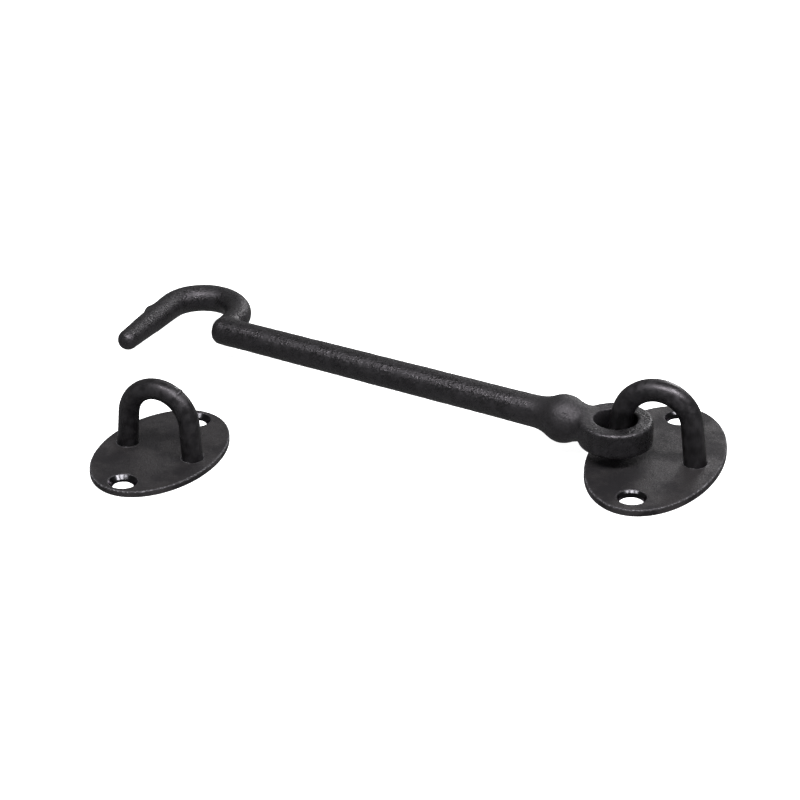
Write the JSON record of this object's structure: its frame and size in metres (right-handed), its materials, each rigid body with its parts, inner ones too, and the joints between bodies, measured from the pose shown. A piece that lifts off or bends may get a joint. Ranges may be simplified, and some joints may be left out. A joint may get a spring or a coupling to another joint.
{
  "type": "cabin hook and keeper staple set",
  "caption": "Forged cabin hook with a bulb and eye, hung on a stapled oval back plate, with a matching keeper staple on its own oval plate.",
  "frame": {"origin": "centre of the hook plate's underside, midway between its two screw holes", "axes": "+Z out of the mounting surface, +Y along the hook plate's screw line, the keeper lies towards -X"},
  "size_m": [0.178, 0.107, 0.0254],
  "materials": {
    "arm_black": "satin black, pitted forged skin",
    "staple_black": "smooth satin black",
    "plate_black": "satin black with a worn rim"
  },
  "bodies": {
    "hook_base": {"hook_plate": "plate_black", "hook_staple": "staple_black"},
    "arm": {"hook_arm": "arm_black"},
    "keeper": {"keeper_plate": "plate_black", "keeper_staple": "staple_black"}
  },
  "joints": [
    {"name": "hook_swing", "type": "hinge", "parent": "hook_base", "child": "arm", "pos_m": [-0.01022, 0, 0.0091], "axis": [0, 0, 1], "range_deg": [-135, 25]},
    {"name": "keeper_slide", "type": "slide", "parent": "hook_base", "child": "keeper", "axis": [-1, 0, 0], "range_m": [0, 0.023]}
  ]
}
